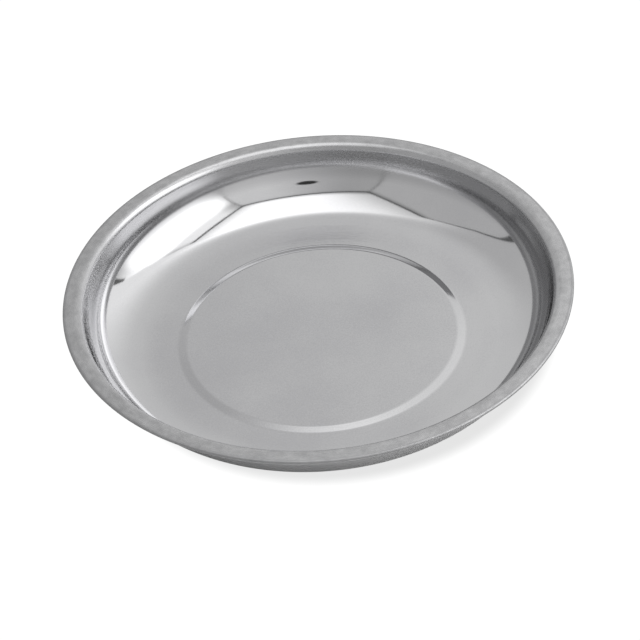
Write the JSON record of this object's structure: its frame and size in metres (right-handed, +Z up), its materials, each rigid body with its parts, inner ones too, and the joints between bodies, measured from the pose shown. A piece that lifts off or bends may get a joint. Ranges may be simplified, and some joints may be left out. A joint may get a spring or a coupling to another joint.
{
  "type": "magnetic parts dish",
  "caption": "Round stainless steel dish for small parts, with a hemmed rim, a raised seat in its floor and a rubber-covered magnetic foot underneath.",
  "frame": {"origin": "on the axis of the dish, at the bottom of the rubber boot, where it stands on the bench", "axes": "+Z up along the axis of the dish, out of its mouth; X and Y are any two level directions, because the dish is round"},
  "size_m": [0.15, 0.15, 0.03],
  "materials": {
    "stainless": "polished inside, with a circular brushed grain on the rim and a fine satin floor",
    "zinc_plate": "bright zinc plating",
    "ferrite": "ground dark ceramic",
    "rubber": "matte moulded black",
    "foam": "fine closed-cell foam"
  },
  "bodies": {
    "root": {"dish": "stainless", "weld_stud": "zinc_plate", "foam_ring": "foam", "ring_magnet": "ferrite", "magnet_plate": "zinc_plate", "rubber_boot": "rubber", "flat_washer": "zinc_plate", "spring_washer": "zinc_plate", "hex_nut": "zinc_plate"}
  },
  "joints": []
}
